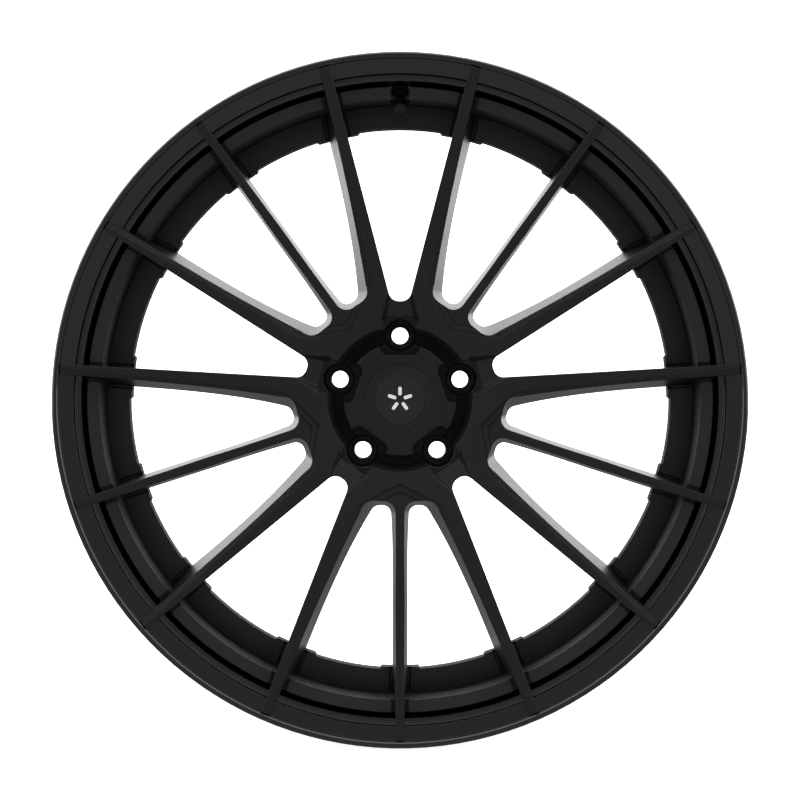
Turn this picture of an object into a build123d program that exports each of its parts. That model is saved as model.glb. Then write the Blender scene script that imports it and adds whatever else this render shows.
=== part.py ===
from build123d import *
import math
import os

# Forged two-piece racing wheel: a dished fifteen-spoke centre bolted from behind into a spun and
# forged barrel, with its snap-in hub cap, valve and hardware. Millimetres, +Z up. The wheel turns
# about the Y axis, its outboard face looks towards -Y, and the origin is the middle of the rim.
# "Depth" below is the distance inboard of the outboard rim flange's edge.

# ---- rim ----
inch = 25.4
rim_width = 9.5 * inch  # between the bead flanges
bead_seat_radius = 11 * inch
flange_height = 17.3  # rim flange above the bead seat
flange_width = 11.5  # axial width of each rolled flange
flange_roll = 3.4  # edge rounding of each flange
bead_seat_width = 21.5
bead_fillet = 6.5  # between flange and bead seat
seat_drop = 1.8  # fall of the tapered bead seat
hump_height = 1.1
hump_width = 7.0
barrel_wall = 4.5
hump_round = 4.0
well_fillet = 12.0
shelf_radius = 267.5  # tyre side of the barrel behind the outboard bead seat
well_radius = 262.0  # tyre side of the drop centre
well_end_depth = 132.0  # where the drop centre starts to rise again
well_rise = 34.0  # axial length of that rise
rear_shelf_radius = 276.2

# ---- outboard lip ----
lip_step_radius = 291.3  # shallow step that the spoke tips butt against
lip_step_depth = 4.9
lip_foot_radius = 279.0  # lower edge of the gloss lip face
lip_foot_depth = 8.6
lip_groove = 1.6  # small groove under that edge
lip_groove_depth = 2.4
lip_wall_radius = 273.0
lip_wall_depth = 13.0
slope_depth = 37.0  # where the inside of the barrel turns in at 45 degrees
slope_radius = 271.4

# ---- where centre and barrel meet ----
register_radius = 261.6  # machined register inside the barrel
register_clearance = 0.06
joint_depth = 78.0  # joint face between the centre and the barrel's mounting flange
mounting_flange_thickness = 10.0
mounting_flange_bore = 241.2
joint_gap = 0.5  # everywhere else between centre and barrel

# ---- hub ----
wheel_offset = 35.0  # mounting face outboard of the rim's middle
hub_bore_radius = 33.3
stud_circle_radius = 56.0
stud_count = 5
stud_hole_radius = 7.5
stud_first_angle = 90.0
hub_pad_radius = 79.0
bore_lead_in = 2.0
hub_disc_radius = 49.4
hub_disc_depth = 46.0
moat_radius = 58.0
moat_wall_radius = 63.4
moat_depth = 66.0
lug_pocket_depth = 55.0
lug_pocket_outer = 72.2  # radius of the pocket's outer end
lug_pocket_inner = 38.4
lug_pocket_outer_half = 13.9
lug_pocket_inner_half = 19.2
lug_pocket_corner = 7.4
counterbore_radius = 14.4
counterbore_depth = 70.0
seat_insert_radius = 12.0
seat_insert_depth = 73.0
seat_throat_depth = 84.0
seat_mouth_radius = 11.0
seat_cone_depth = 6.0
seat_cone_half_angle = 30.0
insert_fit = 0.02  # pressed sleeves, drawn just clear
pad_pocket_depth = 24.0
pad_pocket_inner = 46.0
pad_pocket_wall = 6.0
pad_pocket_half_angle = 17.0
pad_pocket_fillet = 4.0

# ---- spokes, five groups of one slim spoke between two arms ----
group_count = 5
slim_spoke_angle = 54.0
spoke_tip_radius = 290.2
tip_depth = 0.5
face_mid_radius = 165.0
face_mid_depth = 18.3
yoke_depth = 45.5
back_root_radius = 84.0
back_root_depth = 90.0
back_mid_radius = 150.0
back_mid_depth = 58.0
back_end_depth = 68.0
step_root = 2.2  # first step down from the arm face, at the hub
step_mid = 1.5
step_tip = 0.5
# arm edges as a point and a slope, in a group's own frame with the slim spoke along +y
arm_point = 137.6
arm_outer_x = 68.6
arm_outer_slope = 0.389
arm_step_x = 57.4
arm_step_slope = 0.442
second_step_inset = 2.1
chevron_slope = 0.488
chevron_radius = 73.4
second_chevron_radius = 79.2
chevron_fillet = 26.0
# flank lines of the drafted windows, on the front plane (depth 0) and on the rear plane
window_rear_depth = 90.0
arm_flank_far = 255.2
front_flank_near_x = 58.85
front_flank_far_x = 105.3
rear_flank_near_x = 40.7
rear_flank_far_x = 96.8
slim_knee = 176.0
slim_end = 300.0
front_slim_root_x = -0.8
front_slim_knee_x = 2.7
front_slim_end_x = 3.7
rear_slim_root_x = 9.4
rear_slim_knee_x = 9.0
rear_slim_end_x = 6.2
front_root = 82.0
rear_root = 96.0
front_root_fillet = 12.5
rear_root_fillet = 6.8
vee_root = 85.4
vee_root_fillet = 9.2
# web behind each lug pocket: half width and depth of its floor at two heights, sides at 45 degrees
web_foot_radius = 68.0
web_foot_half = 11.4
web_foot_depth = 49.0
web_mouth_radius = 97.0
web_mouth_half = 8.1
web_mouth_depth = 36.5

# ---- ring of the centre ----
ring_wall_radius = 257.8
ring_outer_radius = 269.0
ring_inner_radius = 235.9
upper_ledge_depth = 18.0
lower_ledge_depth = 63.0
trench = 2.8  # narrow trench beside each spoke
upper_trench_drop = 5.0
lower_trench_drop = 2.4
ledge_corner = 2.6
ledge_rim = 0.4  # fine step outside each ledge's flat
scallop_radius = 237.9
scallop_inset = 9.5
scallop_chamfer = 2.0

# ---- assembly bolts ----
bolt_count = 30
bolt_circle_radius = 248.4
bolt_first_angle = 0.0
bolt_radius = 3.4
bolt_hole_radius = 3.7
bolt_insert_radius = 4.3
bolt_insert_bore = 3.5
bolt_insert_length = 10.0
bolt_tip_gap = 0.5
bolt_head_radius = 4.9
bolt_head_height = 6.5
bolt_flange_radius = 6.3
bolt_flange_height = 1.6
washer_radius = 6.9
washer_thickness = 1.2

# ---- hub cap ----
cap_bore_radius = 31.2
cap_bore_depth = 61.5
cap_radius = 30.9
cap_face_depth = 45.4
cap_rim_thickness = 3.0
cap_skirt_radius = 30.2
cap_skirt_wall = 2.2
cap_skirt_depth = 60.0
cap_clip_slots = 8
cap_clip_slot_width = 4.0
cap_clip_slot_start = 51.0
cap_ring_depth = 55.6
cap_ring_wire = 0.9
cap_seal_depth = 49.6
cap_seal_wire = 1.0
badge_radius = 22.2
badge_thickness = 1.4
badge_recess = 1.2
badge_clearance = 0.1
cap_point_count = 8
cap_point_ring = 27.0
cap_point_drop = 0.8
cap_point_half = 1.9
cap_point_height = 2.4
cap_point_root = 0.3
mark_thickness = 0.25
mark_radius = 7.2
mark_bar_width = 3.0
mark_bar_length = 7.6
mark_count = 5

# ---- valve, square to the barrel's 45 degree wall ----
valve_wall = 6.6  # barrel wall where the valve goes through
valve_hole_radius = 5.65
valve_spot_radius = 9.2
valve_spot_depth = 0.6
valve_notch_outer_half = 9.5
valve_notch_inner_half = 8.4
valve_notch_depth = 56.0
valve_shank_radius = 4.0
valve_head_radius = 8.2
valve_head_height = 2.6
valve_grommet_radius = 8.0
valve_grommet_height = 2.2
valve_washer_radius = 8.2
valve_washer_height = 1.2
valve_nut_radius = 6.95
valve_nut_height = 4.4
valve_collar_radius = 5.9
valve_collar_height = 2.0
valve_stem_top = 20.0  # above the inside of the barrel wall
valve_thread_radius = 3.96
valve_thread_length = 7.5
valve_chamber_radius = 2.7
valve_chamber_floor = 2.5
valve_throat_radius = 1.6
valve_core_top = 19.0
valve_core_bottom = 9.0
valve_core_bore = 1.3
valve_core_seal_height = 1.2
valve_pin_radius = 0.8
valve_pin_top = 19.3
valve_pin_bottom = 0.5
valve_poppet_radius = 2.2
valve_poppet_height = 0.9
valve_spring_wire = 0.3
valve_spring_radius = 1.3
valve_spring_turns = 2
valve_pin_travel = 1.0
valve_spring_gap = 0.4
valve_cap_radius = 5.3
valve_cap_bottom = 12.6
valve_cap_roof = 1.8
valve_cap_bore = 4.04
valve_cap_seal_height = 0.5
valve_cap_grip = 14  # grooves round the cap
valve_grip_depth = 0.35
valve_cap_edge = 0.5
valve_fit = 0.06

# ---- worked out from the above ----
front_y = -(rim_width / 2 + flange_width)
overall_width = rim_width + 2 * flange_width
flange_radius = bead_seat_radius + flange_height
mounting_depth = -wheel_offset - front_y
register_bottom = joint_depth + mounting_flange_thickness

os.makedirs("parts", exist_ok=True)


def plane_at(depth):
    """Sketch plane facing outboard at a depth, x to the right and y up."""
    return Plane(origin=(0, front_y + depth, 0), x_dir=(1, 0, 0), z_dir=(0, -1, 0))


def section(*points):
    """Depth and radius pairs as points of a section on the YZ plane."""
    return [(front_y + depth, radius) for depth, radius in points]


def nearest(vertex, places):
    """Distance from a section's vertex to the nearest of some depth and radius pairs."""
    return min(math.hypot(vertex.X - y, vertex.Y - z) for y, z in section(*places))


def valve_section(*points):
    """Radius and height pairs about the valve's axis as points of a section on the YZ plane."""
    base, across = valve_plane(0).origin, 1 / math.sqrt(2)
    return [(base.Y + across * (radius - height), base.Z - across * (radius + height))
            for radius, height in points]


def valve_plane(height):
    """Sketch plane across the valve at a height above the inside of the barrel's 45 degree wall."""
    middle = (slope_radius - register_radius) / 2
    lift = height / math.sqrt(2)
    origin = (0, front_y + slope_depth + middle - lift, slope_radius - middle - lift)
    return Plane(origin=origin, x_dir=(1, 0, 0), z_dir=(0, -1, -1))


def direction(angle):
    """Unit vector at an angle in the wheel's face, counted from +X towards +Z."""
    return math.cos(math.radians(angle)), math.sin(math.radians(angle))


def spoke_frames():
    """Rotations that bring a group's own frame to each group."""
    return [slim_spoke_angle - 90 + k * 360 / group_count for k in range(group_count)]


def blend(front, rear, depth):
    """Value of a drafted line at a depth, from its front and rear plane values."""
    return front + (rear - front) * depth / window_rear_depth


def flank_x(depth, y):
    """Inner flank of an arm at a depth and a height along the group's axis."""
    near = blend(front_flank_near_x, rear_flank_near_x, depth)
    far = blend(front_flank_far_x, rear_flank_far_x, depth)
    return near + (far - near) * (y - arm_point) / (arm_flank_far - arm_point)


def window_corners(depth):
    """Corners of the window between the slim spoke and the right-hand arm."""
    root = blend(front_root, rear_root, depth)
    return [
        (blend(front_slim_root_x, rear_slim_root_x, depth), root),
        (blend(front_slim_knee_x, rear_slim_knee_x, depth), slim_knee),
        (blend(front_slim_end_x, rear_slim_end_x, depth), slim_end),
        (flank_x(depth, slim_end), slim_end),
        (flank_x(depth, root), root),
    ]


def vee_half_width(radius):
    """Half width of the window between two groups at a radius along its middle."""
    half_turn = math.radians(180 / group_count)
    lean = half_turn - math.atan(arm_outer_slope)
    reach = math.hypot(arm_outer_x, arm_point)
    bearing = half_turn - math.atan2(arm_outer_x, arm_point)
    x, y = reach * math.sin(bearing), reach * math.cos(bearing)
    return x + math.tan(lean) * (radius - y)


def vee_corners():
    return [
        (-vee_half_width(vee_root), vee_root),
        (-vee_half_width(slim_end), slim_end),
        (vee_half_width(slim_end), slim_end),
        (vee_half_width(vee_root), vee_root),
    ]


def front_face(drop_root, drop_mid, drop_tip):
    """Concave line of the spoke faces, lowered by three drops."""
    root = (yoke_depth + drop_root, moat_wall_radius)
    mid = (face_mid_depth + drop_mid, face_mid_radius)
    tip = (tip_depth + drop_tip, spoke_tip_radius)
    return root, mid, tip


# ---------------------------------------------------------------- cutting shapes of the centre
def slim_window_sketch(depth, fillet_radius):
    with BuildSketch(plane_at(depth)) as outline:
        with BuildLine():
            Polyline(*window_corners(depth), close=True)
        make_face()
        fillet(outline.vertices().group_by(Axis.Y)[0], fillet_radius)
    return outline.sketch


with BuildPart() as slim_window:
    rear_outline = slim_window_sketch(window_rear_depth, rear_root_fillet)
    loft([slim_window_sketch(0, front_root_fillet), rear_outline], ruled=True)
    extrude(rear_outline, amount=-20)

with BuildPart() as vee_window:
    with BuildSketch(plane_at(-10)) as vee_outline:
        with BuildLine():
            Polyline(*vee_corners(), close=True)
        make_face()
        fillet(vee_outline.vertices().group_by(Axis.Y)[0], vee_root_fillet)
    extrude(amount=-(mounting_depth + 20))


def step_region(step_x, vertex_radius):
    """Area between the two arms of a group, inside a step line."""
    knee_x = step_x + arm_step_slope * (vertex_radius - arm_point)
    knee_x = knee_x / (1 - arm_step_slope * chevron_slope)
    knee_y = vertex_radius + chevron_slope * knee_x
    end_x = step_x + arm_step_slope * (slim_end - arm_point)
    with BuildSketch(plane_at(-10)) as region:
        with BuildLine():
            Polyline((0, vertex_radius), (knee_x, knee_y), (end_x, slim_end),
                     (-end_x, slim_end), (-knee_x, knee_y), close=True)
        make_face()
        fillet(region.vertices().sort_by(Axis.Y)[1:3], chevron_fillet)
    return region.sketch


def step_pocket(step_x, vertex_radius, drops):
    """Shallow cut that lowers the area inside a step line."""
    root, mid, tip = front_face(*drops)
    outer = slim_end + 20
    with BuildPart() as pocket:
        extrude(step_region(step_x, vertex_radius), amount=-mounting_depth)
        with BuildSketch(Plane.YZ):
            with BuildLine():
                arc = ThreePointArc(*section(root, mid, tip))
                Polyline(arc @ 1, *section((tip[0], outer), (-20, outer),
                                           (-20, moat_wall_radius)), arc @ 0)
            make_face()
        revolve(axis=Axis.Y, mode=Mode.INTERSECT)
    return pocket.part


first_step = step_pocket(arm_step_x, chevron_radius, (step_root, step_mid, step_tip))
second_step = step_pocket(arm_step_x - second_step_inset, second_chevron_radius,
                          (2 * step_root, 2 * step_mid, 2 * step_tip))

with BuildPart() as web_pocket:
    for radius, half, depth in ((web_foot_radius, web_foot_half, web_foot_depth),
                                (web_mouth_radius, web_mouth_half, web_mouth_depth)):
        with BuildSketch(Plane(origin=(0, 0, radius), x_dir=(1, 0, 0), z_dir=(0, 0, 1))):
            Polygon((-half, front_y + depth), (half, front_y + depth),
                    (half + depth, front_y), (-half - depth, front_y), align=None)
    loft(ruled=True)


def between_spokes(corners, inset, inner, outer):
    """Outline of a gap between two spokes, kept clear of them and within a ring."""
    with BuildSketch() as gap:
        with BuildLine():
            Polyline(*corners, close=True)
        make_face()
        offset(amount=-inset, kind=Kind.INTERSECTION)
        Circle(outer, mode=Mode.INTERSECT)
        Circle(inner, mode=Mode.SUBTRACT)
    return gap.sketch


def ledge_pad(corners, inner, outer):
    """Flat of a ledge between two spokes, with rounded corners."""
    with BuildSketch() as pad:
        add(between_spokes(corners, trench, inner, outer))
        fillet(pad.vertices(), ledge_corner)
    return pad.sketch


def scallop(corners):
    """Hollow in the ring's inner edge, with its two ends bevelled."""
    with BuildSketch() as hollow:
        add(between_spokes(corners, scallop_inset, ring_inner_radius - 2, scallop_radius))
        chamfer(hollow.vertices().sort_by(lambda v: Vector(*v).length)[-2:], scallop_chamfer)
    return hollow.sketch


def in_every_gap(slim_gap, vee_gap, mode):
    """Place a slim-window outline, its mirror image and a vee outline in all five groups."""
    with PolarLocations(0, group_count, slim_spoke_angle - 90):
        add(slim_gap, mode=mode)
        add(mirror(slim_gap, about=Plane.YZ, mode=Mode.PRIVATE), mode=mode)
    with PolarLocations(0, group_count, slim_spoke_angle - 90 + 180 / group_count):
        add(vee_gap, mode=mode)


def around(part, turn=0):
    """The same shape in each of the five groups, turned on within the group."""
    return [part.rotate(Axis.Y, -(angle + turn)) for angle in spoke_frames()]


# ---------------------------------------------------------------- ring of the centre
half_turn = 180 / group_count
register_start = slope_depth + slope_radius - register_radius
ring_register_radius = register_radius - register_clearance
ring_slope_start = slope_depth + slope_radius - ring_outer_radius - joint_gap * math.sqrt(2)
ring_slope_end = ring_slope_start + ring_outer_radius - ring_register_radius

with BuildPart() as centre_ring:
    with BuildSketch(Plane.YZ):
        with BuildLine():
            Polyline(*section(
                (upper_ledge_depth, ring_wall_radius), (upper_ledge_depth, ring_outer_radius),
                (ring_slope_start, ring_outer_radius), (ring_slope_end, ring_register_radius),
                (joint_depth, ring_register_radius), (joint_depth, ring_inner_radius),
                (lower_ledge_depth, ring_inner_radius), (lower_ledge_depth, ring_wall_radius)),
                close=True)
        make_face()
    revolve(axis=Axis.Y)
    for depth, drop, inner, outer, pad_inner, pad_outer in (
            (upper_ledge_depth, upper_trench_drop, ring_wall_radius - 1, ring_outer_radius + 1,
             ring_wall_radius - ledge_rim, ring_outer_radius - ledge_rim),
            (lower_ledge_depth, lower_trench_drop, ring_inner_radius - 1,
             ring_wall_radius + ledge_rim, ring_inner_radius - ledge_rim,
             ring_wall_radius + 2 * ledge_corner)):
        with BuildSketch(plane_at(depth + drop)):
            Circle(outer)
            Circle(inner, mode=Mode.SUBTRACT)
            in_every_gap(ledge_pad(window_corners(depth), pad_inner, pad_outer),
                         ledge_pad(vee_corners(), pad_inner, pad_outer), Mode.SUBTRACT)
        extrude(amount=drop + 1, mode=Mode.SUBTRACT)
    with BuildSketch(plane_at(joint_depth + 1)):
        in_every_gap(scallop(window_corners(lower_ledge_depth)), scallop(vee_corners()),
                     Mode.ADD)
    extrude(amount=joint_depth - lower_ledge_depth + 2, mode=Mode.SUBTRACT)

# ---------------------------------------------------------------- wheel centre
with BuildPart() as wheel_centre:
    # dished blank: hub, moat, concave spoke faces, undersides over the lip, back of the spokes
    with BuildSketch(Plane.YZ):
        with BuildLine():
            root, mid, tip = front_face(0, 0, 0)
            face = ThreePointArc(*section(root, mid, tip))
            under = Polyline(face @ 1, *section(
                (lip_step_depth - joint_gap, spoke_tip_radius),
                (lip_foot_depth - joint_gap, lip_foot_radius),
                (lip_wall_depth - joint_gap, lip_wall_radius - joint_gap),
                (upper_ledge_depth + upper_trench_drop + 2, ring_outer_radius - 1),
                (ring_slope_start, ring_outer_radius - 1),
                (ring_slope_end, ring_wall_radius + 1),
                (back_end_depth, ring_wall_radius + 1),
                (back_end_depth, ring_inner_radius + 1)))
            back = ThreePointArc(under @ 1, *section((back_mid_depth, back_mid_radius),
                                                     (back_root_depth, back_root_radius)))
            Polyline(back @ 1, *section(
                (mounting_depth, hub_pad_radius), (mounting_depth, 0), (hub_disc_depth, 0),
                (hub_disc_depth, hub_disc_radius - 0.8), (hub_disc_depth + 0.8, hub_disc_radius),
                (moat_depth, hub_disc_radius), (moat_depth, moat_radius)), face @ 0)
        make_face()
    revolve(axis=Axis.Y)
    add(around(slim_window.part), mode=Mode.SUBTRACT)
    add(around(slim_window.part.mirror(Plane.YZ)), mode=Mode.SUBTRACT)
    add(around(vee_window.part, half_turn), mode=Mode.SUBTRACT)
    add(around(first_step), mode=Mode.SUBTRACT)
    add(around(second_step), mode=Mode.SUBTRACT)
    add(around(web_pocket.part, half_turn), mode=Mode.SUBTRACT)
    add(centre_ring.part)
    # lug pockets, counterbores, seat bores and stud holes
    with BuildSketch(plane_at(lug_pocket_depth)) as lug_pockets:
        with PolarLocations(0, stud_count, stud_first_angle - 90):
            Polygon((-lug_pocket_outer_half, lug_pocket_outer),
                    (-lug_pocket_inner_half, lug_pocket_inner),
                    (lug_pocket_inner_half, lug_pocket_inner),
                    (lug_pocket_outer_half, lug_pocket_outer), align=None)
        fillet(lug_pockets.vertices(), lug_pocket_corner)
    extrude(amount=lug_pocket_depth, mode=Mode.SUBTRACT)
    for radius, top, bottom in ((counterbore_radius, lug_pocket_depth - 20, counterbore_depth),
                                (seat_insert_radius + insert_fit, counterbore_depth - 1,
                                 seat_throat_depth + insert_fit),
                                (stud_hole_radius, counterbore_depth, mounting_depth + 1)):
        with BuildSketch(plane_at(bottom)):
            with PolarLocations(stud_circle_radius, stud_count, stud_first_angle):
                Circle(radius)
        extrude(amount=bottom - top, mode=Mode.SUBTRACT)
    # hub bore with its lead-in, and the cap's bore in front of it
    with BuildSketch(Plane.YZ):
        with BuildLine():
            Polyline(*section(
                (hub_disc_depth - 5, 0), (hub_disc_depth - 5, cap_bore_radius),
                (cap_bore_depth, cap_bore_radius), (cap_bore_depth, hub_bore_radius),
                (mounting_depth - bore_lead_in, hub_bore_radius),
                (mounting_depth, hub_bore_radius + bore_lead_in),
                (mounting_depth + 5, hub_bore_radius + bore_lead_in), (mounting_depth + 5, 0)),
                close=True)
        make_face()
    revolve(axis=Axis.Y, mode=Mode.SUBTRACT)
    # lightening pockets in the hub pad, between the stud holes
    with BuildSketch(plane_at(mounting_depth)) as pad_pockets:
        with PolarLocations(0, stud_count, stud_first_angle + 180 / stud_count):
            cosine, sine = direction(pad_pocket_half_angle)
            inner, outer = pad_pocket_inner, hub_pad_radius - pad_pocket_wall
            Polygon((inner * cosine, -inner * sine), (outer * cosine, -outer * sine), (outer, 0),
                    (outer * cosine, outer * sine), (inner * cosine, inner * sine), align=None)
        fillet(pad_pockets.vertices(), pad_pocket_fillet)
    extrude(amount=pad_pocket_depth, mode=Mode.SUBTRACT)
    # notch that lets the valve through the ring
    with BuildSketch(plane_at(valve_notch_depth)):
        notch_low, notch_high = ring_wall_radius - 3, ring_outer_radius + 5
        Polygon((-valve_notch_inner_half, notch_low), (valve_notch_inner_half, notch_low),
                (valve_notch_outer_half, notch_high), (-valve_notch_outer_half, notch_high),
                align=None)
    extrude(amount=valve_notch_depth - upper_ledge_depth + 1, mode=Mode.SUBTRACT)
    # tapped holes for the assembly bolts
    with BuildSketch(plane_at(joint_depth)):
        with PolarLocations(bolt_circle_radius, bolt_count, bolt_first_angle):
            Circle(bolt_insert_radius + insert_fit)
    extrude(amount=bolt_insert_length, mode=Mode.SUBTRACT)
wheel_centre.part.label = "wheel_centre"
export_step(wheel_centre.part, "parts/wheel_centre.step")

# ---------------------------------------------------------------- lug seats
with BuildPart() as lug_seat_inserts:
    with BuildSketch(plane_at(seat_throat_depth)):
        with PolarLocations(stud_circle_radius, stud_count, stud_first_angle):
            Circle(seat_insert_radius)
    extrude(amount=seat_throat_depth - seat_insert_depth)
    with BuildSketch(plane_at(seat_throat_depth)):
        with PolarLocations(stud_circle_radius, stud_count, stud_first_angle):
            Circle(stud_hole_radius)
    extrude(amount=seat_throat_depth - seat_insert_depth, mode=Mode.SUBTRACT)
    # conical seats that open outboard
    with BuildSketch(plane_at(seat_insert_depth)):
        with PolarLocations(stud_circle_radius, stud_count, stud_first_angle):
            Circle(seat_mouth_radius)
    extrude(amount=-seat_cone_depth, taper=seat_cone_half_angle, mode=Mode.SUBTRACT)
lug_seat_inserts.part.label = "lug_seat_inserts"
export_step(lug_seat_inserts.part, "parts/lug_seat_inserts.step")

# ---------------------------------------------------------------- barrel
slope_sum = slope_depth + slope_radius + valve_wall * math.sqrt(2)
seat_end = flange_width + bead_seat_width
shelf_start_radius = bead_seat_radius - seat_drop - 0.4
rear_seat_end = overall_width - seat_end
well_inner = well_radius - barrel_wall
rear_inner = rear_shelf_radius - barrel_wall

with BuildPart() as rim_barrel:
    with BuildSketch(Plane.YZ) as barrel_section:
        with BuildLine():
            Polyline(*section(
                (0, flange_radius), (flange_width, flange_radius),
                (flange_width, bead_seat_radius), (seat_end, bead_seat_radius - seat_drop),
                (seat_end + hump_width / 2, bead_seat_radius - seat_drop + hump_height),
                (slope_sum - shelf_start_radius, shelf_start_radius),
                (slope_sum - shelf_radius, shelf_radius), (register_bottom - 2, shelf_radius),
                (register_bottom + 6, well_radius), (well_end_depth, well_radius),
                (well_end_depth + well_rise, rear_shelf_radius),
                (rear_seat_end - hump_width, rear_shelf_radius),
                (rear_seat_end - hump_width / 2, bead_seat_radius - seat_drop + hump_height),
                (rear_seat_end, bead_seat_radius - seat_drop),
                (overall_width - flange_width, bead_seat_radius),
                (overall_width - flange_width, flange_radius), (overall_width, flange_radius),
                (overall_width, lip_step_radius + 1), (overall_width - 5, lip_step_radius - 4),
                (overall_width - lip_foot_depth - 3, lip_wall_radius + 1),
                (rear_seat_end - hump_width, rear_inner),
                (well_end_depth + well_rise + 2, rear_inner), (well_end_depth + 2, well_inner),
                (register_bottom, well_inner), (register_bottom, mounting_flange_bore),
                (joint_depth, mounting_flange_bore), (joint_depth, register_radius),
                (register_start, register_radius), (slope_depth, slope_radius),
                (lip_wall_depth + 4, lip_wall_radius - 0.6), (lip_wall_depth, lip_wall_radius),
                (lip_foot_depth + lip_groove_depth + 1, lip_foot_radius - 2 * lip_groove),
                (lip_foot_depth + lip_groove_depth, lip_foot_radius - 2 * lip_groove),
                (lip_foot_depth + lip_groove_depth, lip_foot_radius - lip_groove),
                (lip_foot_depth, lip_foot_radius), (lip_step_depth, lip_step_radius - 0.4),
                (1.2, lip_step_radius), (0.4, lip_step_radius + 0.8),
                (0, lip_step_radius + 1.6)), close=True)
        make_face()
        hump_top = bead_seat_radius - seat_drop + hump_height
        for radius, corners in (
                (flange_roll, ((0, flange_radius), (flange_width, flange_radius),
                               (overall_width, flange_radius),
                               (overall_width - flange_width, flange_radius))),
                (bead_fillet, ((flange_width, bead_seat_radius),
                               (overall_width - flange_width, bead_seat_radius))),
                (hump_round, ((seat_end + hump_width / 2, hump_top),
                              (rear_seat_end - hump_width / 2, hump_top))),
                (well_fillet, ((register_bottom + 6, well_radius),
                               (well_end_depth, well_radius),
                               (well_end_depth + 2, well_inner)))):
            fillet([v for v in barrel_section.vertices() if nearest(v, corners) < 0.01], radius)
    revolve(axis=Axis.Y)
    with BuildSketch(plane_at(register_bottom + 1)):
        with PolarLocations(bolt_circle_radius, bolt_count, bolt_first_angle):
            Circle(bolt_hole_radius)
    extrude(amount=mounting_flange_thickness + 2, mode=Mode.SUBTRACT)
    # valve hole, spot-faced on both sides of the wall
    for radius, low, high in ((valve_hole_radius, -2 * valve_wall, valve_wall),
                              (valve_spot_radius, -valve_spot_depth, 2 * valve_wall),
                              (valve_spot_radius, -3 * valve_wall,
                               -valve_wall + valve_spot_depth)):
        with BuildSketch(valve_plane(low)):
            Circle(radius)
        extrude(amount=high - low, mode=Mode.SUBTRACT)
rim_barrel.part.label = "rim_barrel"
export_step(rim_barrel.part, "parts/rim_barrel.step")

# ---------------------------------------------------------------- assembly hardware
head_face = register_bottom + washer_thickness
with BuildPart() as assembly_bolts:
    with BuildSketch(plane_at(head_face)):
        with PolarLocations(bolt_circle_radius, bolt_count, bolt_first_angle):
            Circle(bolt_radius)
    extrude(amount=head_face - joint_depth + bolt_insert_length - bolt_tip_gap)
    with BuildSketch(plane_at(head_face)):
        with PolarLocations(bolt_circle_radius, bolt_count, bolt_first_angle):
            Circle(bolt_flange_radius)
    extrude(amount=-bolt_flange_height)
    with BuildSketch(plane_at(head_face + bolt_flange_height)) as twelve_points:
        with PolarLocations(bolt_circle_radius, bolt_count, bolt_first_angle):
            RegularPolygon(bolt_head_radius, 6)
            RegularPolygon(bolt_head_radius, 6, rotation=30)
    extrude(amount=-bolt_head_height)
assembly_bolts.part.label = "assembly_bolts"
export_step(assembly_bolts.part, "parts/assembly_bolts.step")

with BuildPart() as assembly_washers:
    with BuildSketch(plane_at(head_face)):
        with PolarLocations(bolt_circle_radius, bolt_count, bolt_first_angle):
            Circle(washer_radius)
            Circle(bolt_hole_radius, mode=Mode.SUBTRACT)
    extrude(amount=washer_thickness)
assembly_washers.part.label = "assembly_washers"
export_step(assembly_washers.part, "parts/assembly_washers.step")

with BuildPart() as thread_inserts:
    with BuildSketch(plane_at(joint_depth)):
        with PolarLocations(bolt_circle_radius, bolt_count, bolt_first_angle):
            Circle(bolt_insert_radius)
            Circle(bolt_insert_bore, mode=Mode.SUBTRACT)
    extrude(amount=bolt_insert_length)
thread_inserts.part.label = "thread_inserts"
export_step(thread_inserts.part, "parts/thread_inserts.step")

# ---------------------------------------------------------------- hub cap
cap_ring_radius = cap_skirt_radius - cap_skirt_wall - cap_ring_wire - badge_clearance
cap_seal_radius = cap_bore_radius - cap_seal_wire - badge_clearance / 2

with BuildPart() as cap_shell:
    with BuildSketch(Plane.YZ) as cap_section:
        with BuildLine():
            rim_back = cap_face_depth + cap_rim_thickness
            skirt_inner = cap_skirt_radius - cap_skirt_wall
            Polyline(*section(
                (cap_face_depth + badge_recess, 0), (cap_face_depth + badge_recess, badge_radius),
                (cap_face_depth, badge_radius), (cap_face_depth, cap_point_ring),
                (cap_face_depth + cap_point_drop, cap_point_ring),
                (cap_face_depth + cap_point_drop, cap_radius), (rim_back, cap_radius),
                (rim_back, cap_skirt_radius), (cap_skirt_depth, cap_skirt_radius),
                (cap_skirt_depth, skirt_inner), (rim_back, skirt_inner), (rim_back, 0)),
                close=True)
        make_face()
    revolve(axis=Axis.Y)
    # eight small points that stand out of the raised ring
    with BuildSketch(plane_at(cap_face_depth + cap_point_drop)):
        with PolarLocations(cap_point_ring - cap_point_root, cap_point_count):
            Polygon((0, -cap_point_half), (cap_point_height, 0), (0, cap_point_half),
                    align=None)
    extrude(amount=cap_point_drop)
    # slots that let the skirt spring into the bore
    with BuildSketch(plane_at(cap_skirt_depth + 1)):
        with PolarLocations(cap_skirt_radius, cap_clip_slots, 180 / cap_clip_slots):
            Rectangle(3 * cap_skirt_wall, cap_clip_slot_width)
    extrude(amount=cap_skirt_depth + 1 - cap_clip_slot_start, mode=Mode.SUBTRACT)
    with BuildSketch(Plane.YZ):
        with Locations(section((cap_seal_depth, cap_seal_radius))[0]):
            Circle(cap_seal_wire + badge_clearance / 4)
    revolve(axis=Axis.Y, mode=Mode.SUBTRACT)
cap_shell.part.label = "cap_shell"
export_step(cap_shell.part, "parts/cap_shell.step")

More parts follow.
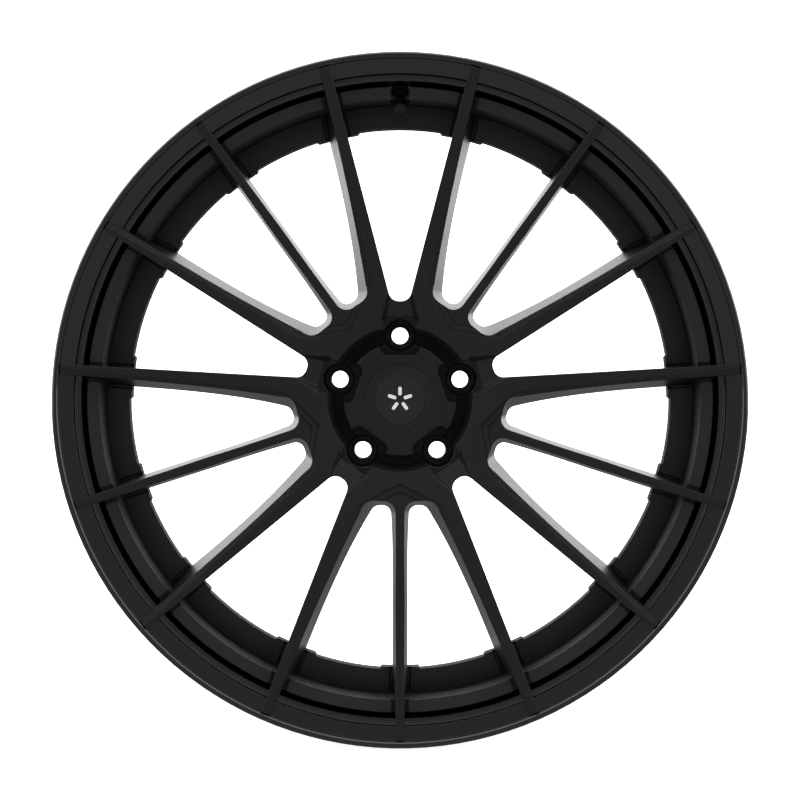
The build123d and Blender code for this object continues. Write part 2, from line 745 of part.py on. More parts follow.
with BuildPart() as cap_spring_ring:
    with BuildSketch(Plane.YZ):
        with Locations(section((cap_ring_depth, cap_ring_radius))[0]):
            Circle(cap_ring_wire)
    revolve(axis=Axis.Y, revolution_arc=330)
cap_spring_ring.part.label = "cap_spring_ring"
export_step(cap_spring_ring.part, "parts/cap_spring_ring.step")

with BuildPart() as cap_seal_ring:
    with BuildSketch(Plane.YZ):
        with Locations(section((cap_seal_depth, cap_seal_radius))[0]):
            Circle(cap_seal_wire)
    revolve(axis=Axis.Y)
cap_seal_ring.part.label = "cap_seal_ring"
export_step(cap_seal_ring.part, "parts/cap_seal_ring.step")

with BuildPart() as cap_badge:
    with BuildSketch(plane_at(cap_face_depth + badge_recess)):
        Circle(badge_radius - badge_clearance)
    extrude(amount=badge_thickness)
    chamfer(cap_badge.edges().group_by(Axis.Y)[0], 0.3)
cap_badge.part.label = "cap_badge"
export_step(cap_badge.part, "parts/cap_badge.step")

with BuildPart() as cap_mark:
    with BuildSketch(plane_at(cap_face_depth + badge_recess - badge_thickness)):
        with PolarLocations(mark_radius, mark_count, 90):
            SlotOverall(mark_bar_length, mark_bar_width)
    extrude(amount=mark_thickness)
cap_mark.part.label = "cap_mark"
export_step(cap_mark.part, "parts/cap_mark.step")

# ---------------------------------------------------------------- valve
valve_axis = Axis(valve_plane(0).origin, valve_plane(0).z_dir)
wall_inside = -valve_spot_depth
wall_outside = -valve_wall + valve_spot_depth
grommet_face = wall_outside - valve_grommet_height
nut_seat = wall_inside + valve_washer_height
collar_top = nut_seat + valve_nut_height + valve_collar_height
thread_start = valve_stem_top - valve_thread_length
sleeve_bore = valve_shank_radius + valve_fit

with BuildPart() as valve_stem:
    with BuildSketch(Plane.YZ):
        with BuildLine():
            Polyline(*valve_section(
                (valve_throat_radius, grommet_face - valve_head_height),
                (valve_head_radius, grommet_face - valve_head_height),
                (valve_head_radius, grommet_face), (valve_shank_radius, grommet_face),
                (valve_shank_radius, thread_start), (valve_thread_radius, thread_start),
                (valve_thread_radius, valve_stem_top), (valve_chamber_radius, valve_stem_top),
                (valve_chamber_radius, valve_chamber_floor),
                (valve_throat_radius, valve_chamber_floor)), close=True)
        make_face()
    revolve(axis=valve_axis)
valve_stem.part.label = "valve_stem"
export_step(valve_stem.part, "parts/valve_stem.step")

with BuildPart() as valve_grommet:
    with BuildSketch(Plane.YZ):
        with BuildLine():
            Polyline(*valve_section(
                (sleeve_bore, grommet_face), (valve_grommet_radius, grommet_face),
                (valve_grommet_radius, wall_outside), (valve_hole_radius - valve_fit, wall_outside),
                (valve_hole_radius - valve_fit, wall_inside), (sleeve_bore, wall_inside)),
                close=True)
        make_face()
    revolve(axis=valve_axis)
valve_grommet.part.label = "valve_grommet"
export_step(valve_grommet.part, "parts/valve_grommet.step")

with BuildPart() as valve_washer:
    with BuildSketch(valve_plane(wall_inside)):
        Circle(valve_washer_radius)
        Circle(sleeve_bore, mode=Mode.SUBTRACT)
    extrude(amount=valve_washer_height)
valve_washer.part.label = "valve_washer"
export_step(valve_washer.part, "parts/valve_washer.step")

with BuildPart() as valve_nut:
    with BuildSketch(valve_plane(nut_seat)):
        RegularPolygon(valve_nut_radius, 6)
    extrude(amount=valve_nut_height)
    with BuildSketch(valve_plane(nut_seat)):
        Circle(valve_collar_radius)
    extrude(amount=collar_top - nut_seat)
    with BuildSketch(valve_plane(nut_seat)):
        Circle(sleeve_bore)
    extrude(amount=collar_top - nut_seat, mode=Mode.SUBTRACT)
valve_nut.part.label = "valve_nut"
export_step(valve_nut.part, "parts/valve_nut.step")

with BuildPart() as valve_core:
    with BuildSketch(valve_plane(valve_core_bottom)):
        Circle(valve_chamber_radius - valve_fit)
        Circle(valve_core_bore, mode=Mode.SUBTRACT)
    extrude(amount=valve_core_top - valve_core_bottom)
valve_core.part.label = "valve_core"
export_step(valve_core.part, "parts/valve_core.step")

with BuildPart() as valve_core_seal:
    with BuildSketch(valve_plane(valve_core_bottom)):
        Circle(valve_chamber_radius - valve_fit)
        Circle(valve_core_bore, mode=Mode.SUBTRACT)
    extrude(amount=-valve_core_seal_height)
valve_core_seal.part.label = "valve_core_seal"
export_step(valve_core_seal.part, "parts/valve_core_seal.step")

poppet_top = valve_core_bottom - valve_core_seal_height - valve_fit
poppet_bottom = poppet_top - valve_poppet_height
with BuildPart() as valve_core_pin:
    with BuildSketch(valve_plane(valve_pin_bottom)):
        Circle(valve_pin_radius)
    extrude(amount=valve_pin_top - valve_pin_bottom)
    with BuildSketch(valve_plane(poppet_bottom)):
        Circle(valve_poppet_radius)
    extrude(amount=valve_poppet_height)
valve_core_pin.part.label = "valve_core_pin"
export_step(valve_core_pin.part, "parts/valve_core_pin.step")

# the coil hangs under the poppet and stays clear of the chamber's floor when the pin is pressed
coil_top = poppet_bottom - valve_fit - valve_spring_wire
coil_bottom = valve_chamber_floor + valve_pin_travel + valve_spring_gap + valve_spring_wire
with BuildPart() as valve_core_spring:
    with BuildLine() as coil:
        Helix((coil_top - coil_bottom) / valve_spring_turns, coil_top - coil_bottom,
              valve_spring_radius, center=valve_plane(coil_bottom).origin,
              direction=valve_axis.direction)
    with BuildSketch(Plane(coil.line @ 0, z_dir=coil.line % 0)):
        Circle(valve_spring_wire)
    sweep(path=coil.line, is_frenet=True)
valve_core_spring.part.label = "valve_core_spring"
export_step(valve_core_spring.part, "parts/valve_core_spring.step")

cap_seal_bottom = valve_stem_top + valve_fit / 2
cap_roof_start = cap_seal_bottom + valve_cap_seal_height + valve_fit / 2
with BuildPart() as valve_cap:
    with BuildSketch(valve_plane(valve_cap_bottom)):
        Circle(valve_cap_radius)
        with PolarLocations(valve_cap_radius + valve_grip_depth, valve_cap_grip):
            Circle(2 * valve_grip_depth, mode=Mode.SUBTRACT)
    extrude(amount=cap_roof_start + valve_cap_roof - valve_cap_bottom)
    chamfer(valve_cap.faces().sort_by(valve_axis)[-1].edges(), valve_cap_edge)
    with BuildSketch(valve_plane(valve_cap_bottom)):
        Circle(valve_cap_bore)
    extrude(amount=cap_roof_start - valve_cap_bottom, mode=Mode.SUBTRACT)
valve_cap.part.label = "valve_cap"
export_step(valve_cap.part, "parts/valve_cap.step")

with BuildPart() as valve_cap_seal:
    with BuildSketch(valve_plane(cap_seal_bottom)):
        Circle(valve_cap_bore - valve_fit)
        Circle(valve_throat_radius, mode=Mode.SUBTRACT)
    extrude(amount=valve_cap_seal_height)
valve_cap_seal.part.label = "valve_cap_seal"
export_step(valve_cap_seal.part, "parts/valve_cap_seal.step")
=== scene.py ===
import math

import bpy
from bpy.props import FloatProperty, FloatVectorProperty, PointerProperty
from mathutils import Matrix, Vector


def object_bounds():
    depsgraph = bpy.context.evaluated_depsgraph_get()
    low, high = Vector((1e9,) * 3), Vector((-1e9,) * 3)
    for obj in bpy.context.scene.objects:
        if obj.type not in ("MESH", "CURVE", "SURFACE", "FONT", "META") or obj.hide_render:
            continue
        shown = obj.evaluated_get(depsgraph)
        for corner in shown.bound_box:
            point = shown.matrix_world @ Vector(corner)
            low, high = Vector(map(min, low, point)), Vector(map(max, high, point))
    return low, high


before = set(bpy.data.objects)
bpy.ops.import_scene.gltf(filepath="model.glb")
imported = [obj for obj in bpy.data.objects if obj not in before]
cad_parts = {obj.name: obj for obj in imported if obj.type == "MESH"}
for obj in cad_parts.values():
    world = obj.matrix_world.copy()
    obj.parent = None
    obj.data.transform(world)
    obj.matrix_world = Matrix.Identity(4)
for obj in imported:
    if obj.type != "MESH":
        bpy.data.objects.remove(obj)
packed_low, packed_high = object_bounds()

bl_info = {
    "name": "Forged Wheel Rim",
    "version": (1, 0, 0),
    "blender": (4, 5, 0),
    "location": "View3D > Sidebar > Wheel Rim",
    "description": "Finishes and studio for a dished forged wheel rim",
    "category": "Object",
}

LIP_FRONT = packed_low.y

# Finishes: a coat's patches run from its colour divided by the variation to its colour times it,
# and the painted shade in the recesses and the painted light on the ledges are shares of the coat's
# colour.
COLOUR_VARIATION = 1.35
RECESS_SHADE = 0.25
# Painted light: how much lighter than the coat the two ledges are drawn.
LEDGE_PAINTED_LIGHT = 3.6
ROUGHNESS_SPREAD = 0.25
RELIEF_HEIGHT = 0.00002
EDGE_SAMPLES = 6

# What slow waves and fine cells in a sprayed coat do to its tone and its roughness.
MEDIUM_CELLS = 0.22
WAVE_TONE, CELL_TONE = 1.4, 0.8
WAVE_ROUGHNESS, CELL_ROUGHNESS = 0.25, 0.2

# Zones of the centre in metres where shade and light are painted (shade in the moat, pockets and
# walls, light on the ledges): radius from, to and soft edge, then depth behind the lip likewise.
HUB_MOAT = (0.0360, 0.0632, 0.0006), (0.0485, 0.0900, 0.0030)
LUG_POCKETS = (0.0360, 0.0730, 0.0006), (0.0562, 0.0900, 0.0010)
UPPER_WALL = (0.2572, 0.2586, 0.0002), (0.0195, 0.0640, 0.0010)
LOWER_WALL = (0.2350, 0.2382, 0.0002), (0.0640, 0.0770, 0.0010)
# The two ledges below get painted light.
UPPER_LEDGE = (0.2586, 0.2692, 0.0003), (0.0172, 0.0188, 0.0004)
LOWER_LEDGE = (0.2350, 0.2572, 0.0003), (0.0622, 0.0638, 0.0004)

# Studio: the world goes from front to back brightness between two values of a direction's Y.
FRONT_DIRECTION, BACK_DIRECTION = -0.80, 0.05
FLOOR_GAP = 0.0005
FLOOR_WHITE, FLOOR_ROUGHNESS = 0.80, 0.9
SENSOR_WIDTH = 36.0
NEAREST, FARTHEST = 0.05, 100.0


# ---------------------------------------------------------------- settings
class RimFinishSettings(bpy.types.PropertyGroup):
    """Paint and metal colours of the wheel."""

    powder_black: FloatVectorProperty(
        name="Powder Coat", description="Satin black powder coat of the spoked centre",
        subtype="COLOR", size=3, min=0, max=1, default=(0.0070, 0.0070, 0.0072))
    lip_black: FloatVectorProperty(
        name="Lip Lacquer", description="Gloss black lacquer of the barrel and its lip",
        subtype="COLOR", size=3, min=0, max=1, default=(0.0035, 0.0035, 0.0037))
    seat_black: FloatVectorProperty(
        name="Lug Seats", description="Blackened steel of the lug seat inserts",
        subtype="COLOR", size=3, min=0, max=1, default=(0.030, 0.030, 0.031))
    bolt_grey: FloatVectorProperty(
        name="Bolts", description="Bright steel of the assembly bolts and washers",
        subtype="COLOR", size=3, min=0, max=1, default=(0.46, 0.46, 0.48))
    cap_black: FloatVectorProperty(
        name="Hub Cap", description="Moulded black of the hub cap",
        subtype="COLOR", size=3, min=0, max=1, default=(0.010, 0.010, 0.0105))
    badge_black: FloatVectorProperty(
        name="Badge", description="Dark disc set in the hub cap",
        subtype="COLOR", size=3, min=0, max=1, default=(0.012, 0.012, 0.0125))
    mark_white: FloatVectorProperty(
        name="Badge Mark", description="White enamel of the bars on the badge",
        subtype="COLOR", size=3, min=0, max=1, default=(0.90, 0.90, 0.90))
    valve_black: FloatVectorProperty(
        name="Valve", description="Black anodised aluminium of the valve",
        subtype="COLOR", size=3, min=0, max=1, default=(0.012, 0.012, 0.013))
    brass: FloatVectorProperty(
        name="Valve Core", description="Brass of the valve core",
        subtype="COLOR", size=3, min=0, max=1, default=(0.72, 0.50, 0.20))
    rubber: FloatVectorProperty(
        name="Rubber", description="Rubber of the seals",
        subtype="COLOR", size=3, min=0, max=1, default=(0.018, 0.018, 0.018))


class RimStageSettings(bpy.types.PropertyGroup):
    """Camera, floor and lights of the studio."""

    lens: FloatProperty(
        name="Lens", description="Focal length of the camera on a 36 mm sensor",
        unit="CAMERA", min=20, max=300, default=93.4)
    distance: FloatProperty(
        name="Distance", description="From the camera to the outboard face of the wheel",
        subtype="DISTANCE", unit="LENGTH", min=0.5, max=10, default=1.763)
    height: FloatProperty(
        name="Height", description="Camera height above the axle",
        subtype="DISTANCE", unit="LENGTH", min=-1, max=1, default=0.024)
    background: FloatProperty(
        name="Background", description="Brightness of the studio behind the wheel",
        min=0, max=5, default=2.4)
    front_light: FloatProperty(
        name="Front Light", description="Brightness of the studio in front of the wheel",
        min=0, max=5, default=0.28)
    floor_glow: FloatProperty(
        name="Floor Glow", description="Light of the floor itself, as the camera sees it",
        min=0, max=5, default=0.85)
    floor_mirrored: FloatProperty(
        name="Floor Mirrored", description="Brightness of the floor as the wheel mirrors it",
        min=0, max=5, default=0.36)
    floor_size: FloatProperty(
        name="Floor Size", description="Half width of the floor",
        subtype="DISTANCE", unit="LENGTH", min=1, max=50, default=6.0)


# ---------------------------------------------------------------- node groups
def new_group(name, inputs, outputs):
    """Empty shader node group with float inputs (name, default) and typed outputs."""
    group = bpy.data.node_groups.new(name, "ShaderNodeTree")
    for label, default in inputs:
        socket = group.interface.new_socket(label, in_out="INPUT", socket_type="NodeSocketFloat")
        socket.default_value = default
    for label, kind in outputs:
        group.interface.new_socket(label, in_out="OUTPUT", socket_type=kind)
    return group, group.nodes.new("NodeGroupInput"), group.nodes.new("NodeGroupOutput")


def feed(tree, slot, value):
    """Link a socket to an input, or set the input to a value."""
    if isinstance(value, bpy.types.NodeSocket):
        tree.links.new(value, slot)
    else:
        slot.default_value = value


def add_math(tree, operation, first, second=None, third=None, clamp=False):
    """Math node whose inputs are sockets or numbers; returns its output."""
    node = tree.nodes.new("ShaderNodeMath")
    node.operation, node.use_clamp = operation, clamp
    for slot, value in zip(node.inputs, (first, second, third)):
        if value is not None:
            feed(tree, slot, value)
    return node.outputs[0]


def add_noise(tree, coords, scale, detail, roughness=0.5):
    """Noise texture read at the given coordinates; returns its factor."""
    node = tree.nodes.new("ShaderNodeTexNoise")
    tree.links.new(coords, node.inputs["Vector"])
    feed(tree, node.inputs["Scale"], scale)
    node.inputs["Detail"].default_value = detail
    node.inputs["Roughness"].default_value = roughness
    return node.outputs["Fac"]


def add_mix(tree, factor, first, second):
    """Colour mix of two sockets or colours; returns its result."""
    node = tree.nodes.new("ShaderNodeMix")
    node.data_type = "RGBA"
    tree.links.new(factor, node.inputs["Factor"])
    feed(tree, node.inputs["A"], first)
    feed(tree, node.inputs["B"], second)
    return node.outputs["Result"]


def add_effect(tree, name, values=()):
    """A shared node group with some of its inputs set; returns its outputs."""
    node = tree.nodes.new("ShaderNodeGroup")
    node.node_tree = bpy.data.node_groups[name]
    for label, value in values:
        node.inputs[label].default_value = value
    return node.outputs


def object_coords(tree):
    """Coordinates in the frame that all the pieces share."""
    return tree.nodes.new("ShaderNodeTexCoord").outputs["Object"]


def about_axle(tree, coords):
    """Distance from the axle and place along it, at the given coordinates."""
    parts = tree.nodes.new("ShaderNodeSeparateXYZ")
    tree.links.new(coords, parts.inputs[0])
    square = add_math(tree, "MULTIPLY_ADD", parts.outputs["X"], parts.outputs["X"],
                      add_math(tree, "MULTIPLY", parts.outputs["Z"], parts.outputs["Z"]))
    return add_math(tree, "SQRT", square), parts.outputs["Y"]


def coat_grain_group():
    """Orange peel of a sprayed coat: fine cells and slow waves as a height, and a tone mask."""
    group, entry, leave = new_group(
        "coat_grain", [("Grain Scale", 900.0), ("Wave Scale", 14.0), ("Grain", 0.5)],
        [("Height", "NodeSocketFloat"), ("Tone", "NodeSocketFloat"),
         ("Roughness Shift", "NodeSocketFloat")])
    coords = object_coords(group)
    fine = add_noise(group, coords, entry.outputs["Grain Scale"], 2.0, 0.55)
    medium = add_noise(group, coords, add_math(
        group, "MULTIPLY", entry.outputs["Grain Scale"], MEDIUM_CELLS), 3.0)
    slow = add_noise(group, coords, entry.outputs["Wave Scale"], 4.0, 0.6)
    height = add_math(group, "MULTIPLY_ADD", fine, entry.outputs["Grain"], medium)
    group.links.new(height, leave.inputs["Height"])
    waves, cells, medium_cells = (
        add_math(group, "SUBTRACT", noise, 0.5) for noise in (slow, fine, medium))
    tone = add_math(group, "MULTIPLY_ADD", waves, WAVE_TONE, 0.5, clamp=True)
    tone = add_math(group, "MULTIPLY_ADD", cells, CELL_TONE, tone, clamp=True)
    group.links.new(tone, leave.inputs["Tone"])
    shift = add_math(group, "MULTIPLY_ADD", waves, WAVE_ROUGHNESS,
                     add_math(group, "MULTIPLY", medium_cells, CELL_ROUGHNESS))
    group.links.new(shift, leave.inputs["Roughness Shift"])
    return group


def turning_marks_group():
    """Fine rings left by a lathe about the wheel's axis, as a height from radius and depth."""
    group, entry, leave = new_group(
        "turning_marks", [("Pitch Scale", 2600.0), ("Break Up", 0.35)],
        [("Height", "NodeSocketFloat"), ("Tone", "NodeSocketFloat")])
    coords = object_coords(group)
    radius, along = about_axle(group, coords)
    reach = add_math(group, "ADD", radius, along)
    line = group.nodes.new("ShaderNodeCombineXYZ")
    group.links.new(add_math(group, "MULTIPLY", reach, entry.outputs["Pitch Scale"]),
                    line.inputs["X"])
    rings = add_noise(group, line.outputs[0], 1.0, 2.0, 0.6)
    patches = add_noise(group, coords, 30.0, 2.0)
    height = add_math(group, "MULTIPLY", rings, add_math(
        group, "MULTIPLY_ADD", patches, entry.outputs["Break Up"], 0.8))
    group.links.new(height, leave.inputs["Height"])
    group.links.new(add_math(group, "MULTIPLY_ADD", rings, 0.5, 0.25, clamp=True),
                    leave.inputs["Tone"])
    return group


def band_mask(tree, value, low, high, soft):
    """One where a value lies between two limits and zero outside, with soft ends."""
    rise = add_math(tree, "DIVIDE", add_math(tree, "SUBTRACT", value, low - soft), soft, clamp=True)
    fall = add_math(tree, "DIVIDE", add_math(tree, "SUBTRACT", high + soft, value), soft, clamp=True)
    return add_math(tree, "MULTIPLY", rise, fall)


def zones_mask(tree, radius, depth, zones):
    """One inside any of the zones and zero outside them all."""
    union = 0.0
    for radii, depths in zones:
        zone = add_math(tree, "MULTIPLY", band_mask(tree, radius, *radii),
                        band_mask(tree, depth, *depths))
        union = add_math(tree, "MAXIMUM", union, zone)
    return union


def painted_shade_and_light_group():
    """Masks, broken up by noise patches, of painted shade in the centre's recesses and of painted
    light on its two ledges.
    """
    group, entry, leave = new_group(
        "painted_shade_and_light", [("Patchiness", 0.35)],
        [("Mask", "NodeSocketFloat"), ("Painted Ledge Light", "NodeSocketFloat")])
    coords = object_coords(group)
    radius, along = about_axle(group, coords)
    # Patches of noise thin the painted shade and the painted light here and there.
    depth = add_math(group, "SUBTRACT", along, LIP_FRONT)
    patches = add_noise(group, coords, 260.0, 3.0)
    patchy = add_math(group, "MULTIPLY_ADD", patches, add_math(
        group, "MULTIPLY", entry.outputs["Patchiness"], -1.0), 1.0)
    for label, zones in (("Mask", (HUB_MOAT, LUG_POCKETS, UPPER_WALL, LOWER_WALL)),
                         ("Painted Ledge Light", (UPPER_LEDGE, LOWER_LEDGE))):
        found = zones_mask(group, radius, depth, zones)
        group.links.new(add_math(group, "MULTIPLY", found, patchy), leave.inputs[label])
    return group


# ---------------------------------------------------------------- materials
def shifted(colour, factor):
    """An opaque colour, lighter or darker by a factor."""
    return tuple(min(1.0, channel * factor) for channel in colour) + (1.0,)


def finish_material(name, colour, roughness, pattern, metallic=0.0, coat=0.0, coat_roughness=0.1,
                    variation=COLOUR_VARIATION, bump=0.15, edge_radius=0.0, recesses=False,
                    glow=0.0, pattern_values=()):
    """Principled surface whose tone, roughness and height come from a pattern group."""
    material = bpy.data.materials.new(name)
    material.use_nodes = True
    tree = material.node_tree
    shader = tree.nodes["Principled BSDF"]
    shader.inputs["Metallic"].default_value = metallic
    shader.inputs["Coat Weight"].default_value = coat
    shader.inputs["Coat Roughness"].default_value = coat_roughness
    shader.inputs["Emission Color"].default_value = shifted(colour, 1.0)
    shader.inputs["Emission Strength"].default_value = glow
    effect = add_effect(tree, pattern, pattern_values)
    tint = add_mix(tree, effect["Tone"], shifted(colour, 1 / variation), shifted(colour, variation))
    source = effect.get("Roughness Shift") or effect["Tone"]
    coarse = add_math(tree, "MULTIPLY_ADD", source, ROUGHNESS_SPREAD, roughness, clamp=True)
    # Painted shade: the recesses get a darker colour and full roughness. Painted light: the two ledges
    # get a lighter colour.
    if recesses:
        painted_shading = add_effect(tree, "painted_shade_and_light")
        coarse = add_math(tree, "MAXIMUM", coarse, painted_shading["Mask"])
        tint = add_mix(tree, painted_shading["Mask"], tint, shifted(colour, RECESS_SHADE))
        tint = add_mix(tree, painted_shading["Painted Ledge Light"], tint, shifted(colour, LEDGE_PAINTED_LIGHT))
    tree.links.new(tint, shader.inputs["Base Color"])
    tree.links.new(coarse, shader.inputs["Roughness"])
    relief = tree.nodes.new("ShaderNodeBump")
    relief.inputs["Strength"].default_value = bump
    relief.inputs["Distance"].default_value = RELIEF_HEIGHT
    tree.links.new(effect["Height"], relief.inputs["Height"])
    if edge_radius:
        edge = tree.nodes.new("ShaderNodeBevel")
        edge.samples = EDGE_SAMPLES
        edge.inputs["Radius"].default_value = edge_radius
        tree.links.new(edge.outputs["Normal"], relief.inputs["Normal"])
    tree.links.new(relief.outputs["Normal"], shader.inputs["Normal"])
    return material


def dress(names, material):
    """Give CAD nodes one finish, on every material slot they have."""
    for name in names:
        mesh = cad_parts[name].data
        if not mesh.materials:
            mesh.materials.append(material)
        for place in range(len(mesh.materials)):
            mesh.materials[place] = material


# ---------------------------------------------------------------- operators
class RIM_OT_make_effects(bpy.types.Operator):
    """Build the pattern groups that the finishes share"""

    bl_idname = "rim.make_effects"
    bl_label = "Make Surface Effects"

    def execute(self, context):
        coat_grain_group()
        turning_marks_group()
        painted_shade_and_light_group()
        return {"FINISHED"}


class RIM_OT_finish_centre(bpy.types.Operator):
    """Satin black powder coat on the spoked centre"""

    bl_idname = "rim.finish_centre"
    bl_label = "Finish Centre"

    def execute(self, context):
        colours = context.scene.rim_finish
        dress(["wheel_centre"], finish_material(
            "powder_black", colours.powder_black, 0.38, "coat_grain", bump=0.25,
            edge_radius=0.0014, recesses=True))
        return {"FINISHED"}


class RIM_OT_finish_barrel(bpy.types.Operator):
    """Gloss black lacquer on the turned barrel and its lip"""

    bl_idname = "rim.finish_barrel"
    bl_label = "Finish Barrel"

    def execute(self, context):
        colours = context.scene.rim_finish
        dress(["rim_barrel"], finish_material(
            "lip_lacquer", colours.lip_black, 0.20, "coat_grain", coat=0.6,
            coat_roughness=0.04, bump=0.06, edge_radius=0.0006,
            pattern_values=(("Wave Scale", 9.0), ("Grain Scale", 500.0))))
        return {"FINISHED"}


class RIM_OT_finish_hardware(bpy.types.Operator):
    """Lug seats, assembly bolts, washers and thread inserts"""

    bl_idname = "rim.finish_hardware"
    bl_label = "Finish Hardware"

    def execute(self, context):
        colours = context.scene.rim_finish
        dress(["lug_seat_inserts"], finish_material(
            "blackened_steel", colours.seat_black, 0.32, "turning_marks", metallic=0.6,
            bump=0.2, edge_radius=0.0003))
        dress(["assembly_bolts", "assembly_washers", "thread_inserts"], finish_material(
            "plated_steel", colours.bolt_grey, 0.24, "coat_grain", metallic=1.0, bump=0.2,
            edge_radius=0.0002, pattern_values=(("Wave Scale", 120.0),)))
        return {"FINISHED"}


class RIM_OT_finish_cap(bpy.types.Operator):
    """Moulded hub cap with its badge, mark, spring ring and seal"""

    bl_idname = "rim.finish_cap"
    bl_label = "Finish Hub Cap"

    def execute(self, context):
        colours = context.scene.rim_finish
        dress(["cap_shell"], finish_material(
            "cap_black", colours.cap_black, 0.40, "coat_grain", bump=0.2, edge_radius=0.0003))
        dress(["cap_badge"], finish_material(
            "badge_black", colours.badge_black, 0.28, "turning_marks", coat=0.3, bump=0.06,
            edge_radius=0.0002, pattern_values=(("Pitch Scale", 5200.0),)))
        # The mark glows a little: painted light, emission from a part that is no lamp.
        dress(["cap_mark"], finish_material(
            "mark_enamel", colours.mark_white, 0.35, "coat_grain", variation=1.02, bump=0.05,
            glow=0.3))
        dress(["cap_spring_ring"], finish_material(
            "spring_wire", colours.bolt_grey, 0.25, "coat_grain", metallic=1.0, bump=0.1))
        dress(["cap_seal_ring", "valve_grommet", "valve_core_seal", "valve_cap_seal"],
              finish_material("seal_rubber", colours.rubber, 0.65, "coat_grain", bump=0.3))
        return {"FINISHED"}


class RIM_OT_finish_valve(bpy.types.Operator):
    """Anodised valve with its nut and cap, and the brass core"""

    bl_idname = "rim.finish_valve"
    bl_label = "Finish Valve"

    def execute(self, context):
        colours = context.scene.rim_finish
        dress(["valve_stem", "valve_nut", "valve_washer", "valve_cap"], finish_material(
            "anodised_black", colours.valve_black, 0.30, "coat_grain", metallic=0.3,
            bump=0.1, edge_radius=0.0003, pattern_values=(("Wave Scale", 150.0),)))
        dress(["valve_core", "valve_core_pin"], finish_material(
            "core_brass", colours.brass, 0.28, "coat_grain", metallic=1.0, variation=1.1,
            bump=0.1, pattern_values=(("Wave Scale", 300.0),)))
        dress(["valve_core_spring"], finish_material(
            "core_spring_wire", colours.bolt_grey, 0.25, "coat_grain", metallic=1.0, bump=0.1))
        return {"FINISHED"}


class RIM_OT_make_stage(bpy.types.Operator):
    """Pale floor, soft studio light and the camera"""

    bl_idname = "rim.make_stage"
    bl_label = "Make Stage"

    def execute(self, context):
        stage = context.scene.rim_stage
        make_world(stage)
        make_floor(stage)
        make_camera(stage)
        context.scene.view_settings.view_transform = "Standard"
        return {"FINISHED"}


# ---------------------------------------------------------------- studio
def make_world(stage):
    """Studio all round, brighter behind the wheel than in front, and white to the camera."""
    world = bpy.data.worlds.new("studio")
    bpy.context.scene.world = world
    world.use_nodes = True
    tree = world.node_tree
    background = tree.nodes["Background"]
    parts = tree.nodes.new("ShaderNodeSeparateXYZ")
    tree.links.new(tree.nodes.new("ShaderNodeTexCoord").outputs["Generated"], parts.inputs[0])
    ramp = tree.nodes.new("ShaderNodeMapRange")
    ramp.interpolation_type = "SMOOTHSTEP"
    ramp.inputs["From Min"].default_value = FRONT_DIRECTION
    ramp.inputs["From Max"].default_value = BACK_DIRECTION
    ramp.inputs["To Min"].default_value = stage.front_light
    ramp.inputs["To Max"].default_value = stage.background
    tree.links.new(parts.outputs["Y"], ramp.inputs["Value"])
    seen = tree.nodes.new("ShaderNodeLightPath").outputs["Is Camera Ray"]
    tree.links.new(add_math(tree, "MAXIMUM", ramp.outputs[0], seen),
                   background.inputs["Strength"])
    background.inputs["Color"].default_value = (1, 1, 1, 1)


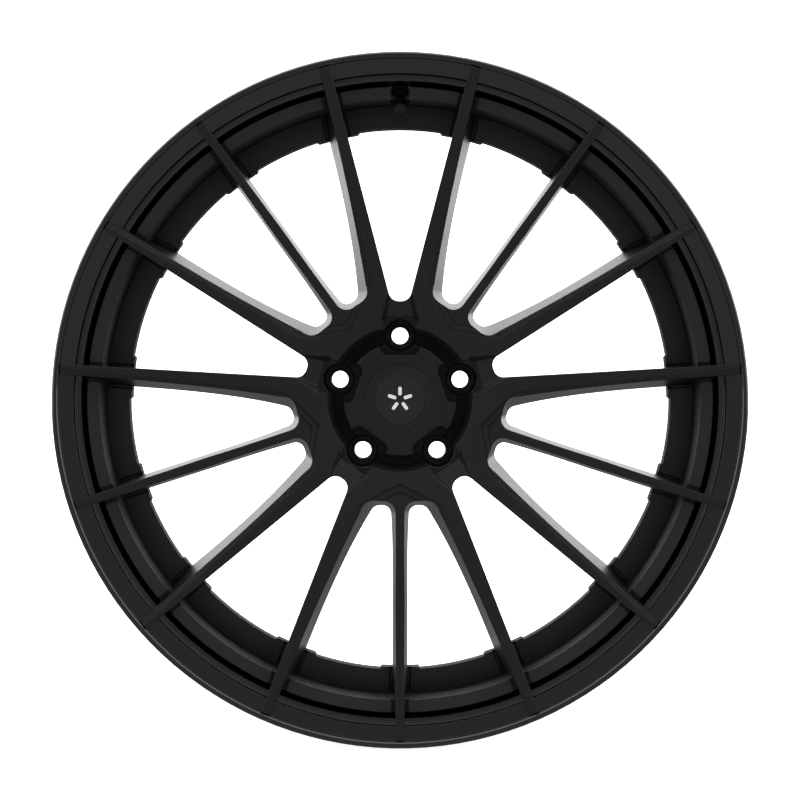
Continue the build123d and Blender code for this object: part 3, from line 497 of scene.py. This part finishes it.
def make_floor(stage):
    """Square pale floor just under the rim, with one glow for the camera and one for mirrored rays."""
    size, low = stage.floor_size, packed_low.z - FLOOR_GAP
    mesh = bpy.data.meshes.new("studio_floor")
    mesh.from_pydata([(-size, -size, low), (size, -size, low), (size, size, low),
                      (-size, size, low)], [], [(0, 1, 2, 3)])
    floor = bpy.data.objects.new("studio_floor", mesh)
    bpy.context.scene.collection.objects.link(floor)
    material = bpy.data.materials.new("pale_floor")
    material.use_nodes = True
    tree = material.node_tree
    shader = tree.nodes["Principled BSDF"]
    shader.inputs["Base Color"].default_value = (FLOOR_WHITE, FLOOR_WHITE, FLOOR_WHITE, 1)
    shader.inputs["Roughness"].default_value = FLOOR_ROUGHNESS
    shader.inputs["Specular IOR Level"].default_value = 0.0
    shader.inputs["Emission Color"].default_value = (1, 1, 1, 1)
    shader.inputs["Emission Strength"].default_value = stage.floor_glow
    mirrored = tree.nodes.new("ShaderNodeEmission")
    mirrored.inputs["Strength"].default_value = stage.floor_mirrored
    choice = tree.nodes.new("ShaderNodeMixShader")
    seen = tree.nodes.new("ShaderNodeLightPath").outputs["Is Camera Ray"]
    tree.links.new(seen, choice.inputs["Fac"])
    tree.links.new(mirrored.outputs[0], choice.inputs[1])
    tree.links.new(shader.outputs[0], choice.inputs[2])
    tree.links.new(choice.outputs[0], tree.nodes["Material Output"].inputs["Surface"])
    mesh.materials.append(material)


def make_camera(stage):
    """Level camera in front of the outboard face, shifted to centre the wheel."""
    data = bpy.data.cameras.new("camera")
    data.lens, data.sensor_width = stage.lens, SENSOR_WIDTH
    data.shift_y = -stage.height / stage.distance * stage.lens / SENSOR_WIDTH
    data.clip_start, data.clip_end = NEAREST, FARTHEST
    camera = bpy.data.objects.new("camera", data)
    camera.location = (0.0, LIP_FRONT - stage.distance, stage.height)
    camera.rotation_euler = (math.radians(90), 0, 0)
    bpy.context.scene.collection.objects.link(camera)
    bpy.context.scene.camera = camera


# ---------------------------------------------------------------- panel and registration
class RIM_PT_sidebar(bpy.types.Panel):
    """Lists the wheel's operators and settings"""

    bl_idname = "RIM_PT_sidebar"
    bl_label = "Wheel Rim"
    bl_space_type = "VIEW_3D"
    bl_region_type = "UI"
    bl_category = "Wheel Rim"

    def draw(self, context):
        for operator in OPERATORS:
            self.layout.operator(operator.bl_idname)
        for settings in (context.scene.rim_finish, context.scene.rim_stage):
            for label in settings.__annotations__:
                self.layout.prop(settings, label)


OPERATORS = (RIM_OT_make_effects, RIM_OT_finish_centre, RIM_OT_finish_barrel,
             RIM_OT_finish_hardware, RIM_OT_finish_cap, RIM_OT_finish_valve,
             RIM_OT_make_stage)
CLASSES = (RimFinishSettings, RimStageSettings) + OPERATORS + (RIM_PT_sidebar,)


def register():
    for item in CLASSES:
        bpy.utils.register_class(item)
    bpy.types.Scene.rim_finish = PointerProperty(type=RimFinishSettings)
    bpy.types.Scene.rim_stage = PointerProperty(type=RimStageSettings)


def unregister():
    del bpy.types.Scene.rim_stage
    del bpy.types.Scene.rim_finish
    for item in reversed(CLASSES):
        bpy.utils.unregister_class(item)


def main():
    register()
    bpy.ops.rim.make_effects()
    bpy.ops.rim.finish_centre()
    bpy.ops.rim.finish_barrel()
    bpy.ops.rim.finish_hardware()
    bpy.ops.rim.finish_cap()
    bpy.ops.rim.finish_valve()
    bpy.ops.rim.make_stage()


if __name__ == "__main__":
    main()
